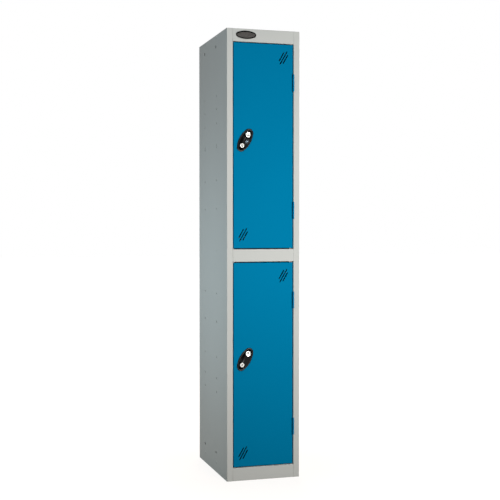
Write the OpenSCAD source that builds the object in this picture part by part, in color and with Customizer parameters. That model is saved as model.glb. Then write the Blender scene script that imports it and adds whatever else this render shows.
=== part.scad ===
// Two-door steel school locker: a folded sheet cabinet with two flush doors,
// each on two butt hinges, with an oval lock plate and a turning cam lock.
// Origin at the middle of the foot, X to the right, front towards -Y, Z up.

/* [Cabinet] */
// Overall width
cabinet_w = 300; // [280:5:400]
// Overall depth
cabinet_d = 450; // [420:10:520]
// Overall height
cabinet_h = 1780; // [1600:10:1900]
// Thickness of the body sheet
body_t = 0.9; // [0.7:0.1:1.2]
// Outside radius of the body bends
body_r = 1.8; // [1.6:0.1:2.4]
// Depth of the flanges that fix the back panel between the sides
back_flange_d = 15; // [10:1:20]
// Gap left where one body panel slides into another
panel_fit = 0.05; // [0.02:0.01:0.15]

/* [Front frame] */
// Width of the upright stiles
stile_w = 24.3; // [20:0.1:28]
// Height of the top rail
top_rail_h = 50.5; // [46:0.5:60]
// Height of the rail between the doors
mid_rail_h = 49.5; // [44:0.5:60]
// Height of the base rail
base_rail_h = 51.7; // [46:0.1:90]
// Depth of the turned edge under each rail
rail_return = 17; // [12:1:18]
// Width of the door stop lip behind each stile
lip_w = 10; // [8:0.5:12]
// Space kept between the rails' sheets and the lips
lip_clear = 1; // [0.6:0.1:1.6]
// Seam where a rail meets a stile
seam_gap = 0.25; // [0.1:0.05:0.5]
// Depth of the flanges that fix a shelf to the sides
shelf_flange_h = 20; // [16:1:26]

/* [Side holes] */
// Diameter of the shelf fixing holes
shelf_hole_d = 7; // [6.8:0.2:7.6]
// Drop from a rail's top edge to its fixing holes
shelf_hole_drop = 10.5; // [8:0.5:13]
// Front face to the front column of fixing holes
shelf_hole_front = 161; // [140:1:190]
// Front face to the rear column of fixing holes
shelf_hole_rear = 349; // [320:1:370]
// Top to the spare hole for a hat shelf
hat_hole_drop = 246; // [200:1:280]
// Top to the spare hole for a middle bracket
bracket_hole_drop = 454; // [452:1:470]
// Diameter of the holes that bolt lockers side by side
nest_hole_d = 11.5; // [9:0.5:13]
// Front face to the front column of bolt holes
nest_hole_front = 170; // [150:1:200]
// Front face to the rear column of bolt holes
nest_hole_rear = 352; // [330:1:370]
// Top to the upper bolt holes
nest_hole_drop = 46; // [32:1:50]
// Floor to the lower bolt holes
nest_hole_rise = 81; // [76:1:110]

/* [Rivets] */
// Diameter of a rivet's shank
rivet_d = 6.6; // [6:0.1:6.6]
// Diameter of a rivet's head
rivet_head_d = 11; // [10:0.5:12]
// Height of a rivet's head
rivet_head_h = 0.9; // [0.6:0.1:1.4]
// Diameter of a rivet's set end
rivet_tail_d = 9; // [8.4:0.2:9.6]
// Height of a rivet's set end
rivet_tail_h = 1.6; // [1:0.1:2]

/* [Doors] */
// Gap above and below each door
door_gap = 3.9; // [2.8:0.1:4.6]
// Gap at a door's lock side
latch_gap = 2.9; // [2:0.1:4]
// Gap at a door's hinge side
hinge_gap = 3.9; // [3.6:0.1:4.4]
// Depth of a door
door_d = 18; // [18:0.5:22]
// Thickness of the door sheet
door_t = 0.9; // [0.7:0.1:1.2]
// Outside radius of the door bends
door_r = 1.8; // [1.6:0.1:2.4]
// Width of the turned edge round the back of a door
door_return = 12; // [8:1:16]
// Width of the stiffener's raised web
stiffener_w = 40; // [30:1:46]
// Height of the stiffener's raised web
stiffener_h = 12; // [8:0.5:14]
// Width of the stiffener's fixing flanges
stiffener_flange = 12; // [8:1:14]
// Space from a stiffener's end to the door's end
stiffener_inset = 22; // [16:1:40]
// Diameter of a rubber door buffer
buffer_d = 8; // [6:0.5:9]
// Thickness of a rubber door buffer
buffer_t = 2.8; // [2:0.1:4]
// Gap between a buffer and the shut door
buffer_gap = 0.3; // [0.2:0.1:0.6]
// Diameter of a buffer's stem
buffer_stem_d = 3.6; // [3:0.1:4]
// Diameter of the bead that holds a buffer in its hole
buffer_bead_d = 5.6; // [5:0.1:6.4]
// Clearance of a buffer's stem in its hole
buffer_fit = 0.1; // [0.05:0.05:0.3]
// Door end to the middle of a buffer
buffer_inset = 60; // [40:1:100]

/* [Air vents] */
// Length of the middle slot
vent_long = 60; // [50:1:70]
// Length of the outer slots
vent_short = 41; // [30:1:48]
// Width of a slot
vent_slot_w = 4.4; // [3:0.1:5]
// Distance between the slots
vent_pitch = 9.4; // [8:0.2:11]
// Lean of the slots from upright
vent_tilt = 30; // [0:1:40]
// Door's side to the middle of a vent
vent_inset_x = 39; // [38:1:52]
// Door's end to the middle of a vent
vent_inset_z = 53; // [50:1:80]

/* [Hinges] */
// Height of a hinge
hinge_h = 66; // [50:1:80]
// Diameter of a hinge's barrel
barrel_d = 6; // [5.4:0.2:7]
// Diameter of a hinge's pin
pin_d = 3; // [2.6:0.1:3.2]
// Radial clearance between a pin and its knuckles
pin_clear = 0.05; // [0.02:0.01:0.1]
// Diameter of a pin's heads
pin_head_d = 4.6; // [4:0.2:5.4]
// Height of a pin's heads
pin_head_h = 1; // [0.6:0.1:1.6]
// Thickness of a hinge leaf
leaf_t = 1.2; // [0.9:0.1:1.2]
// Reach of a hinge leaf into the gap
leaf_reach = 15; // [10:0.5:16]
// Gap between a leaf and a neighbour's knuckle
knuckle_gap = 0.35; // [0.25:0.05:0.6]
// Door's end to the middle of a hinge
hinge_inset = 150; // [110:1:200]
// Stile's edge to the hinge axis
hinge_set = 1.3; // [1.2:0.1:1.6]
// Width of the notch in a door's edge behind a hinge
notch_w = 3.5; // [2:0.25:5]
// Depth of the notch
notch_d = 6; // [4:0.5:7]
// Length of the notch past each end of a hinge
notch_clear = 1; // [0.5:0.25:3]

/* [Lock plate] */
// Length of the oval plate
plate_long = 100; // [92:1:110]
// Width of the oval plate
plate_wide = 49; // [46:1:54]
// Radius of the oval plate's ends
plate_end_r = 17; // [14:0.5:19]
// Lean of the plate from upright
plate_tilt = 30; // [0:1:40]
// Door's lock side to the middle of the plate
plate_inset_x = 46.5; // [46:0.5:52]
// Door's top to the middle of the plate
plate_inset_z = 381.5; // [300:0.5:450]
// Height of the plate's rim above the door
plate_proud = 4; // [3:0.25:5]
// Width of the rim that rests on the door
plate_rim = 5; // [4:0.25:6]
// Thickness of the finger recess's wall
plate_wall = 1.5; // [1:0.1:2]
// Depth of the finger recess below the door's face
recess_depth = 10; // [8:0.5:11]
// Clearance of the plate's tub in the door
plate_fit = 0.3; // [0.1:0.05:0.6]
// Distance between the number disc and the lock
disc_spacing = 50; // [48:0.5:52]
// Diameter of the number disc
disc_d = 20; // [18:0.5:22]
// Thickness of the number disc
disc_t = 1.2; // [0.8:0.1:1.6]
// Width of the shoulder round a disc on its boss
boss_shoulder = 1; // [0.5:0.1:1.5]
// Drop from the rim to the tops of the bosses
boss_drop = 2; // [1.5:0.1:2.4]

/* [Cam lock] */
// Diameter of the lock's face
lock_face_d = 17; // [16.5:0.5:19]
// Thickness of the lock's face
lock_face_t = 1.8; // [1:0.1:2]
// Diameter of the lock's barrel
lock_barrel_d = 15; // [14:0.5:15.5]
// Radial clearance of the barrel in the plate and the nut
lock_fit = 0.1; // [0.05:0.05:0.2]
// Width across the nut's flats
nut_flats = 22; // [20:0.5:24]
// Thickness of the nut
nut_t = 4; // [3:0.25:4.5]
// Diameter of the turning plug
plug_d = 11; // [10:0.5:12]
// Radial clearance of the plug in its barrel
plug_clear = 0.05; // [0.02:0.01:0.1]
// Width of the key slot
key_slot_w = 2.2; // [1.6:0.1:2.6]
// Length of the key slot
key_slot_l = 7.5; // [6:0.25:8.5]
// Depth of the key slot
key_slot_depth = 9; // [6:0.5:10]
// Width of the square that drives the cam
drive_w = 7; // [6:0.25:7.5]
// Clearance of the cam on its square
drive_fit = 0.1; // [0.05:0.05:0.2]
// Thickness of the cam
cam_t = 2; // [1.5:0.1:3]
// Width of the cam's arm
cam_w = 14; // [12:0.5:18]
// Overlap of the shut cam behind the lip
cam_overlap = 8; // [6:0.5:9]
// Gap between the cam and the lip
cam_gap = 0.8; // [0.6:0.1:1.4]
// Gap between the cam and the lock's barrel
cam_seat_gap = 0.3; // [0.2:0.05:0.5]
// Diameter of the cam screw's shank
screw_d = 4; // [3:0.25:4.5]
// Length of the cam screw's shank
screw_l = 10; // [8:0.5:12]
// Radial clearance of the cam screw
screw_fit = 0.05; // [0.02:0.01:0.1]
// Diameter of the cam screw's head
screw_head_d = 10; // [9.8:0.2:11]
// Height of the cam screw's head
screw_head_h = 2.5; // [2:0.25:3]
// Width of the cam screw's cross slot
screw_slot_w = 1.2; // [0.8:0.1:1.6]

/* [Badge] */
// Length of the badge plate
badge_long = 82; // [70:1:90]
// Width of the badge plate
badge_wide = 32; // [28:1:36]
// Radius of the badge plate's ends
badge_end_r = 10; // [8:0.5:12]
// Thickness of the badge plate
badge_t = 2.4; // [1.8:0.1:3]
// Width of the badge plate's raised rim
badge_rim = 4; // [2:0.1:4.5]
// Depth of the badge plate's sunk middle
badge_sink = 0.8; // [0.4:0.1:1.2]
// Cabinet's left side to the middle of the badge
badge_inset_x = 78; // [75:1:110]
// Cabinet's top to the middle of the badge
badge_inset_z = 24; // [21:0.5:26]
// Diameter of the badge's two pegs
badge_peg_d = 3; // [2.4:0.2:3.6]
// Distance between the badge's pegs
badge_peg_spacing = 50; // [40:1:56]
// Clearance of the pegs in the rail
badge_peg_fit = 0.1; // [0.05:0.05:0.2]

/* [Coat hooks] */
// Diameter of the hook's rod
hook_rod_d = 6; // [5:0.5:7]
// Radius of the hook's bend
hook_bend_r = 18; // [14:1:22]
// Drop from the fixing plate to the bottom of the bend
hook_drop = 48; // [40:1:60]
// Diameter of the balls at the hook's tips
hook_ball_d = 9; // [8:0.5:10]
// Length of the hook's fixing plate
hook_plate_l = 50; // [44:1:60]
// Width of the hook's fixing plate
hook_plate_w = 20; // [16:1:26]
// Thickness of the hook's fixing plate
hook_plate_t = 2; // [1.5:0.1:3]
// Distance between the hook's rivets
hook_fix_spacing = 32; // [26:1:34]
// Front face to the hook
hook_inset = 225; // [200:1:260]

/* [Hidden] */
$fn = 48;
// Extra length of a cut that runs past a face
eps = 1;
half_w = cabinet_w / 2;
front_y = -cabinet_d / 2;
back_y = cabinet_d / 2;
// The door openings, and the doors in them
open_x = half_w - stile_w;
open_h = (cabinet_h - top_rail_h - mid_rail_h - base_rail_h) / 2;
door_x0 = latch_gap - open_x;
door_x1 = open_x - hinge_gap;
door_w = door_x1 - door_x0;
door_h = open_h - 2 * door_gap;
lower_open_z = base_rail_h;
upper_open_z = base_rail_h + open_h + mid_rail_h;
// The lips stand behind the doors and the buffers
return_d = door_d + buffer_gap + buffer_t + body_t;
rail_half = open_x - seam_gap;
neck_half = open_x - lip_w - lip_clear;
tray_half = half_w - body_t - panel_fit;
tray_y0 = front_y + return_d + lip_clear;
tray_y1 = back_y - back_flange_d - panel_fit;
// Shelf columns, in the cabinet's own depth
fix_ys = [front_y + shelf_hole_front, front_y + shelf_hole_rear];
nest_ys = [front_y + nest_hole_front, front_y + nest_hole_rear];
nest_zs = [nest_hole_rise, cabinet_h - nest_hole_drop];
tray_tops = [base_rail_h, upper_open_z, cabinet_h];
// One pressing of the side serves cabinets with two to six doors
function tier_open_h(n) = (cabinet_h - top_rail_h - base_rail_h - (n - 1) * mid_rail_h) / n;
function tier_shelf_z(n, k) = base_rail_h + k * (tier_open_h(n) + mid_rail_h);
spare_zs = [cabinet_h - hat_hole_drop, cabinet_h - bracket_hole_drop];
shelf_zs = [for (n = [2:6], k = [1:n - 1]) tier_shelf_z(n, k) - shelf_hole_drop];
fix_zs = [for (top = [base_rail_h, cabinet_h]) top - shelf_hole_drop];
side_hole_zs = concat(shelf_zs, spare_zs, fix_zs);
// Hinge axis, in front of the gap
hinge_x = open_x - hinge_set;
hinge_y = front_y - barrel_d / 2;
// Middle of the lock plate, and the lock and disc on it
plate_x = door_x0 + plate_inset_x;
disc_dx = sin(plate_tilt) * disc_spacing / 2;
disc_dz = cos(plate_tilt) * disc_spacing / 2;
lock_x = plate_x - disc_dx;
boss_top = boss_drop - plate_proud;
tub_bottom = recess_depth + plate_wall;
lock_front = boss_top - lock_face_t;
cam_front = return_d + cam_gap;
cam_back = cam_front + cam_t;
lock_barrel_end = cam_front - cam_seat_gap;
cam_reach = lock_x + open_x - lip_w + cam_overlap;
badge_x = badge_inset_x - half_w;
badge_z = cabinet_h - badge_inset_z;
hook_y = front_y + hook_inset;
// Colours
frame_grey = "#c9c9c4";
door_blue = "#0a78a4";
lock_black = "#1b1b1c";
steel = "#c8cacc";
rubber = "#2a2a2a";

// Heights of one door's parts, from the foot of its opening
function door_foot(open_z) = open_z + door_gap;
function plate_z(open_z) = door_foot(open_z) + door_h - plate_inset_z;
function lock_z(open_z) = plate_z(open_z) - disc_dz;
function buffer_zs(open_z) = [door_foot(open_z) + buffer_inset, door_foot(open_z) + door_h - buffer_inset];
function hinge_top_z(open_z) = door_foot(open_z) + door_h - hinge_inset;
function hinge_bottom_z(open_z) = door_foot(open_z) + hinge_inset;

// Quarter of a bent sheet's section, about the middle of its bend
module bend(x, y, turn, r, t) {
    translate([x, y]) rotate(turn) intersection() {
        difference() {
            circle(r);
            circle(r - t);
        }
        square(r);
    }
}

// Flat run of a bent sheet's section, between two corners
module flat(x0, y0, x1, y1) {
    translate([x0, y0]) square([x1 - x0, y1 - y0]);
}

// Rectangle with round corners, from its lower left corner
module round_rect(w, h, r) {
    flat(r, 0, w - r, h);
    flat(0, r, w, h - r);
    for (x = [r, w - r], y = [r, h - r]) translate([x, y]) circle(r);
}

// Upright oval of four arcs, from its half length, half width and end radius
module oval(a, b, r) {
    c = a - r;
    flank = (b * b + c * c - r * r) / (2 * (b - r));
    joint = c * flank / (flank - r);
    for (s = [-1, 1]) translate([0, s * c]) circle(r);
    intersection() {
        translate([flank - b, 0]) circle(flank, $fn = 180);
        translate([b - flank, 0]) circle(flank, $fn = 180);
        flat(-b, -joint, b, joint);
    }
}

// Slot with round ends, upright about the origin
module slot(l, w) {
    flat(-w / 2, -(l - w) / 2, w / 2, (l - w) / 2);
    for (s = [-1, 1]) translate([0, s * (l - w) / 2]) circle(w / 2);
}

// Solid of a front view, between two depths behind the front face
module behind(d0, d1) {
    translate([0, front_y + d1, 0]) rotate([90, 0, 0]) linear_extrude(d1 - d0) children();
}

// Round rod square to the front, between two depths behind the front face
module rod(x, z, d0, d1, d) {
    translate([x, front_y + d1, z]) rotate([90, 0, 0]) cylinder(h = d1 - d0, d = d);
}

// Solid of a side view, of depth behind the front and height, across the width
module across(x0, x1) {
    translate([x0, front_y, 0]) rotate([90, 0, 90]) linear_extrude(x1 - x0) children();
}

// Hole through a side wall, square to it
module side_hole(y, z, d) {
    translate([-half_w - eps, y, z]) rotate([0, 90, 0]) cylinder(h = body_r + 2 * eps, d = d);
}

// Flat wall of the left side, with its shelf and bolt holes
module side_wall() {
    edge_y = front_y + body_r + panel_fit;
    difference() {
        translate([-half_w, edge_y, 0]) cube([body_t, back_y - edge_y, cabinet_h - body_t]);
        for (y = fix_ys, z = side_hole_zs) side_hole(y, z, shelf_hole_d);
        for (y = nest_ys, z = nest_zs) side_hole(y, z, nest_hole_d);
    }
}

module left_side_panel() {
    color(frame_grey) side_wall();
}

module right_side_panel() {
    color(frame_grey) mirror([1, 0, 0]) side_wall();
}

// Section of the left front post, seen from above, from its front outer corner
module post_section() {
    inner_r = body_r - body_t;
    bend(body_r, body_r, 180, body_r, body_t);
    flat(body_r, 0, stile_w - body_r, body_t);
    bend(stile_w - body_r, body_r, 270, body_r, body_t);
    flat(stile_w - body_t, body_r, stile_w, return_d - body_r);
    bend(stile_w + inner_r, return_d - body_r, 90, body_r, body_t);
    flat(stile_w + inner_r, return_d - body_t, stile_w + lip_w, return_d);
}

// Left post: corner, stile, door return and stop lip, folded from one strip
module front_post() {
    translate([-half_w, front_y, 0]) linear_extrude(cabinet_h - body_t) post_section();
}

module left_front_post() {
    color(frame_grey) difference() {
        front_post();
        for (open_z = [lower_open_z, upper_open_z], z = buffer_zs(open_z))
            rod(buffer_x(), z, door_d, return_d + eps, buffer_stem_d + 2 * buffer_fit);
    }
}

module right_front_post() {
    color(frame_grey) mirror([1, 0, 0]) front_post();
}

// Back sheet, set in from the rear edges, with a flange along each side wall
module back_panel() {
    color(frame_grey) translate([0, back_y - back_flange_d, 0]) linear_extrude(cabinet_h - body_t) {
        flat(body_r - tray_half, 0, tray_half - body_r, body_t);
        for (side = [0, 1]) mirror([side, 0]) {
            bend(tray_half - body_r, body_r, 270, body_r, body_t);
            flat(tray_half - body_t, body_r, tray_half, back_flange_d);
        }
    }
}

// Section of a front rail and the sheet above it, from the rail's lower front edge
module rail_section(rail_h) {
    flat(body_r, 0, rail_return, body_t);
    bend(body_r, body_r, 180, body_r, body_t);
    flat(0, body_r, body_t, rail_h - body_r);
    bend(body_r, rail_h - body_r, 90, body_r, body_t);
    flat(body_r, rail_h - body_t, return_d - body_t - lip_clear, rail_h);
}

// Section of a shelf with its fixing flanges, seen from the front, hanging from its top
module tray_section() {
    flat(-tray_half + body_r, -body_t, tray_half - body_r, 0);
    for (side = [0, 1]) mirror([side, 0]) {
        bend(tray_half - body_r, -body_r, 0, body_r, body_t);
        flat(tray_half - body_t, -shelf_flange_h, tray_half, -body_r);
    }
}

// Shelf with a front rail, side flanges and holes for the rivets in them
module tray(top_z, rail_h) {
    difference() {
        union() {
            translate([0, 0, top_z - rail_h]) across(-rail_half, rail_half) rail_section(rail_h);
            translate([-neck_half, front_y + rail_return - eps, top_z - body_t])
                cube([2 * neck_half, tray_y0 - front_y - rail_return + 2 * eps, body_t]);
            translate([0, tray_y1, top_z]) rotate([90, 0, 0])
                linear_extrude(tray_y1 - tray_y0) tray_section();
        }
        for (y = fix_ys) translate([-half_w, y, top_z - shelf_hole_drop])
            rotate([0, 90, 0]) cylinder(h = cabinet_w, d = shelf_hole_d);
    }
}

// Rivet holes for the coat hook under a shelf
module hook_holes(top_z) {
    for (s = [-1, 1]) translate([s * hook_fix_spacing / 2, hook_y, top_z - 2 * body_t])
        cylinder(h = 3 * body_t, d = shelf_hole_d);
}

module top_panel() {
    color(frame_grey) difference() {
        union() {
            tray(cabinet_h, top_rail_h);
            difference() {
                translate([-half_w, front_y, cabinet_h - body_t]) cube([cabinet_w, cabinet_d, body_t]);
                translate([-rail_half - seam_gap, front_y - eps, cabinet_h - body_t - eps])
                    cube([2 * (rail_half + seam_gap), body_r + eps, body_t + 2 * eps]);
            }
        }
        hook_holes(cabinet_h);
        for (s = [-1, 1]) translate([s * badge_peg_spacing / 2, 0, 0])
            rod(badge_x, badge_z, -eps, body_r + eps, badge_peg_d + 2 * badge_peg_fit);
    }
}

module mid_shelf() {
    color(frame_grey) difference() {
        tray(upper_open_z, mid_rail_h);
        hook_holes(upper_open_z);
    }
}

module base_panel() {
    color(frame_grey) tray(base_rail_h, base_rail_h);
}

module badge_plate() {
    color(lock_black) {
        translate([badge_x, 0, badge_z]) difference() {
            behind(-badge_t, 0) rotate(90) oval(badge_long / 2, badge_wide / 2, badge_end_r);
            behind(-badge_t - eps, badge_sink - badge_t) rotate(90)
                oval(badge_long / 2 - badge_rim, badge_wide / 2 - badge_rim, badge_end_r - badge_rim);
        }
        for (s = [-1, 1])
            rod(badge_x + s * badge_peg_spacing / 2, badge_z, -badge_t / 2, body_t, badge_peg_d);
    }
}

// Blind rivet along Z with its head below zero, through a stack of sheets
module rivet(stack) {
    mirror([0, 0, 1]) cylinder(h = rivet_head_h, d1 = rivet_head_d, d2 = rivet_head_d - 2 * rivet_head_h);
    cylinder(h = stack, d = rivet_d);
    translate([0, 0, stack]) cylinder(h = rivet_tail_h, d = rivet_tail_d);
}

module carcass_rivets() {
    color(frame_grey)
        for (side = [0, 1], y = fix_ys, top = tray_tops) mirror([side, 0, 0])
            translate([-half_w, y, top - shelf_hole_drop]) rotate([0, 90, 0]) rivet(2 * body_t + panel_fit);
}

// Double coat hook hung from the underside of a shelf
module coat_hook(top_z) {
    plate_top = top_z - body_t;
    bend_z = plate_top - hook_plate_t - hook_drop + hook_bend_r;
    color(steel) difference() {
        union() {
            translate([-hook_plate_l / 2, hook_y - hook_plate_w / 2, plate_top - hook_plate_t])
                cube([hook_plate_l, hook_plate_w, hook_plate_t]);
            translate([0, hook_y, bend_z - hook_bend_r])
                cylinder(h = hook_drop + hook_plate_t / 2, d = hook_rod_d);
            translate([0, hook_y, bend_z]) rotate([90, 0, 0]) rotate([0, 0, 180])
                rotate_extrude(angle = 180) translate([hook_bend_r, 0]) circle(d = hook_rod_d);
            for (s = [-1, 1]) translate([s * hook_bend_r, hook_y, bend_z]) sphere(d = hook_ball_d);
        }
        for (s = [-1, 1]) translate([s * hook_fix_spacing / 2, hook_y, plate_top - hook_plate_t - eps])
            cylinder(h = hook_plate_t + 2 * eps, d = shelf_hole_d);
    }
}

module hook_rivets() {
    color(steel)
        for (top = [upper_open_z, cabinet_h], s = [-1, 1])
            translate([s * hook_fix_spacing / 2, hook_y, top]) mirror([0, 0, 1]) rivet(body_t + hook_plate_t);
}

// Middle of the buffers, on the lip behind the left stile
function buffer_x() = -open_x + lip_w / 2;

module door_buffers() {
    front = door_d + buffer_gap;
    color(rubber) for (open_z = [lower_open_z, upper_open_z], z = buffer_zs(open_z)) {
        rod(buffer_x(), z, front, front + buffer_t, buffer_d);
        rod(buffer_x(), z, front, return_d + buffer_fit, buffer_stem_d);
        rod(buffer_x(), z, return_d, return_d + body_t, buffer_bead_d);
    }
}

// Closed block with the door's round edges, shrunk by a margin on every side
module door_block(open_z, margin) {
    w = door_w - 2 * margin;
    d = door_d - 2 * margin;
    h = door_h - 2 * margin;
    r = door_r - margin;
    translate([door_x0 + margin, front_y + margin, door_foot(open_z) + margin]) intersection() {
        linear_extrude(h) round_rect(w, d, r);
        rotate([90, 0, 90]) linear_extrude(w) round_rect(d, h, r);
    }
}

// Three leaning slots, drawn about the middle one
module vent() {
    rotate(-vent_tilt) {
        slot(vent_long, vent_slot_w);
        for (s = [-1, 1]) translate([s * vent_pitch, 0]) slot(vent_short, vent_slot_w);
    }
}

// Front outline of the lock plate, shrunk by a margin
module plate_outline(margin) {
    rotate(-plate_tilt) oval(plate_long / 2 - margin, plate_wide / 2 - margin, plate_end_r - margin);
}

// Cut in a door's edge that clears a hinge's knuckles
module hinge_notch(z) {
    h = hinge_h + 2 * notch_clear;
    translate([door_x1 - notch_w, front_y - eps, z - h / 2]) cube([notch_w + eps, notch_d + eps, h]);
}

// Folded door: a pan with turned edges, two vents, and cuts for the lock plate and the hinges
module door_panel(open_z) {
    foot = door_foot(open_z);
    color(door_blue) difference() {
        door_block(open_z, 0);
        door_block(open_z, door_t);
        translate([door_x0 + door_return, front_y + door_d / 2, foot + door_return])
            cube([door_w - 2 * door_return, door_d, door_h - 2 * door_return]);
        translate([plate_x, 0, plate_z(open_z)]) behind(-eps, door_r) plate_outline(plate_rim - plate_fit);
        translate([door_x1 - vent_inset_x, 0, foot + door_h - vent_inset_z]) behind(-eps, door_r) vent();
        translate([door_x0 + vent_inset_x, 0, foot + vent_inset_z]) behind(-eps, door_r) vent();
        for (z = [hinge_bottom_z(open_z), hinge_top_z(open_z)]) hinge_notch(z);
    }
}

// Top-hat channel welded up the inside of the door
module door_stiffener(open_z) {
    half = stiffener_w / 2;
    h = door_h - 2 * stiffener_inset;
    middle = (door_x0 + door_x1) / 2;
    foot = door_foot(open_z) + stiffener_inset;
    color(door_blue) translate([middle, front_y + door_t, foot]) linear_extrude(h) {
        flat(-half, stiffener_h - door_t, half, stiffener_h);
        for (side = [0, 1]) mirror([side, 0]) {
            flat(half - door_t, 0, half, stiffener_h);
            flat(half - door_t, 0, half + stiffener_flange, door_t);
        }
    }
}

// Oval plate with a finger recess, a boss for the number disc and a bored boss for the lock
module lock_plate(open_z) {
    z = plate_z(open_z);
    color(lock_black) difference() {
        union() {
            translate([plate_x, 0, z]) difference() {
                union() {
                    behind(-plate_proud, 0) plate_outline(0);
                    behind(-plate_proud / 2, tub_bottom) plate_outline(plate_rim);
                }
                behind(-plate_proud - eps, recess_depth) plate_outline(plate_rim + plate_wall);
            }
            rod(plate_x + disc_dx, z + disc_dz, boss_top, tub_bottom, disc_d + 2 * boss_shoulder);
            rod(lock_x, lock_z(open_z), boss_top, tub_bottom, lock_face_d + 2 * boss_shoulder);
        }
        rod(lock_x, lock_z(open_z), boss_top - eps, tub_bottom + eps, lock_barrel_d + 2 * lock_fit);
    }
}

module number_disc(open_z) {
    color(steel) rod(plate_x + disc_dx, plate_z(open_z) + disc_dz, boss_top - disc_t, boss_top, disc_d);
}

// Fixed body of the lock: a face on the boss and a bored barrel behind it
module lock_barrel(open_z) {
    z = lock_z(open_z);
    color(steel) difference() {
        union() {
            rod(lock_x, z, lock_front, boss_top, lock_face_d);
            rod(lock_x, z, boss_top - lock_face_t / 2, lock_barrel_end, lock_barrel_d);
        }
        rod(lock_x, z, lock_front - eps, lock_barrel_end + eps, plug_d + 2 * plug_clear);
    }
}

// Hexagon nut that clamps the lock to the plate
module lock_nut(open_z) {
    z = lock_z(open_z);
    color(steel) difference() {
        translate([lock_x, front_y + tub_bottom + nut_t, z]) rotate([90, 0, 0])
            cylinder(h = nut_t, d = nut_flats / cos(30), $fn = 6);
        rod(lock_x, z, tub_bottom - eps, tub_bottom + nut_t + eps, lock_barrel_d + 2 * lock_fit);
    }
}

// Turning plug with its key slot, a square for the cam and a hole for the screw
module lock_plug(open_z) {
    z = lock_z(open_z);
    color(steel) difference() {
        union() {
            rod(lock_x, z, lock_front, cam_front, plug_d);
            translate([lock_x, 0, z]) behind(cam_front - eps, cam_back) square(drive_w, center = true);
        }
        translate([lock_x, 0, z]) behind(lock_front - eps, lock_front + key_slot_depth)
            slot(key_slot_l, key_slot_w);
        rod(lock_x, z, cam_back - screw_l - screw_fit, cam_back + eps, screw_d + 2 * screw_fit);
    }
}

// Cam hanging down while unlocked; a quarter turn puts it behind the lip
module lock_cam(open_z) {
    color(steel) translate([lock_x, 0, lock_z(open_z)]) behind(cam_front, cam_back) difference() {
        union() {
            circle(d = screw_head_d + cam_w / 2);
            flat(-cam_w / 2, cam_w / 2 - cam_reach, cam_w / 2, 0);
            translate([0, cam_w / 2 - cam_reach]) circle(d = cam_w);
        }
        square(drive_w + 2 * drive_fit, center = true);
    }
}

module cam_screw(open_z) {
    z = lock_z(open_z);
    color(steel) difference() {
        union() {
            rod(lock_x, z, cam_back, cam_back + screw_head_h, screw_head_d);
            rod(lock_x, z, cam_back - screw_l, cam_back + screw_head_h / 2, screw_d);
        }
        translate([lock_x, 0, z]) behind(cam_back + screw_head_h / 2, cam_back + screw_head_h + eps)
            for (turn = [0, 90]) rotate(turn) slot(screw_head_d * 0.7, screw_slot_w);
    }
}

// Bored knuckle of a hinge, between two heights about the hinge's middle
module knuckle(z0, z1) {
    translate([0, 0, z0]) cylinder(h = z1 - z0, d = barrel_d);
}

// Hinge leaf: a plate in the door gap, with the tabs that join it to its knuckles
module leaf_plate(x0, spans) {
    plate_front = barrel_d / 2 + knuckle_gap;
    translate([x0, plate_front, -hinge_h / 2]) cube([leaf_t, leaf_reach, hinge_h]);
    for (span = spans) translate([x0, barrel_d / 4, span[0]])
        cube([leaf_t, plate_front, span[1] - span[0]]);
}

// Hinge leaf with its knuckles, bored for the pin
module hinge_leaf(z, x0, spans) {
    color(door_blue) translate([hinge_x, hinge_y, z]) difference() {
        union() {
            leaf_plate(x0, spans);
            for (span = spans) knuckle(span[0], span[1]);
        }
        translate([0, 0, -hinge_h / 2 - eps]) cylinder(h = hinge_h + 2 * eps, d = pin_d + 2 * pin_clear);
    }
}

// Leaf on the stile, with the upper and lower knuckles
module frame_leaf(z) {
    half = hinge_h / 2;
    split = hinge_h / 6 + knuckle_gap;
    hinge_leaf(z, hinge_set - leaf_t, [[-half, -split], [split, half]]);
}

// Leaf on the door, with the middle knuckle
module door_leaf(z) {
    split = hinge_h / 6;
    hinge_leaf(z, hinge_set - hinge_gap, [[-split, split]]);
}

module hinge_pin(z) {
    color(door_blue) translate([hinge_x, hinge_y, z]) {
        translate([0, 0, -hinge_h / 2 - pin_head_h / 2]) cylinder(h = hinge_h + pin_head_h, d = pin_d);
        for (side = [0, 1]) mirror([0, 0, side])
            translate([0, 0, hinge_h / 2]) cylinder(h = pin_head_h, d = pin_head_d);
    }
}

left_side_panel();
right_side_panel();
left_front_post();
right_front_post();
back_panel();
top_panel();
mid_shelf();
base_panel();
badge_plate();
carcass_rivets();
coat_hook(cabinet_h);  // upper_coat_hook
coat_hook(upper_open_z);  // lower_coat_hook
hook_rivets();
door_buffers();
door_panel(upper_open_z);  // upper_door_panel
door_stiffener(upper_open_z);  // upper_door_stiffener
lock_plate(upper_open_z);  // upper_lock_plate
number_disc(upper_open_z);  // upper_number_disc
lock_barrel(upper_open_z);  // upper_lock_barrel
lock_nut(upper_open_z);  // upper_lock_nut
lock_plug(upper_open_z);  // upper_lock_plug
lock_cam(upper_open_z);  // upper_lock_cam
cam_screw(upper_open_z);  // upper_cam_screw
frame_leaf(hinge_top_z(upper_open_z));  // upper_door_top_frame_leaf
door_leaf(hinge_top_z(upper_open_z));  // upper_door_top_door_leaf
hinge_pin(hinge_top_z(upper_open_z));  // upper_door_top_pin
frame_leaf(hinge_bottom_z(upper_open_z));  // upper_door_bottom_frame_leaf
door_leaf(hinge_bottom_z(upper_open_z));  // upper_door_bottom_door_leaf
hinge_pin(hinge_bottom_z(upper_open_z));  // upper_door_bottom_pin
door_panel(lower_open_z);  // lower_door_panel
door_stiffener(lower_open_z);  // lower_door_stiffener
lock_plate(lower_open_z);  // lower_lock_plate
number_disc(lower_open_z);  // lower_number_disc
lock_barrel(lower_open_z);  // lower_lock_barrel
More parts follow.
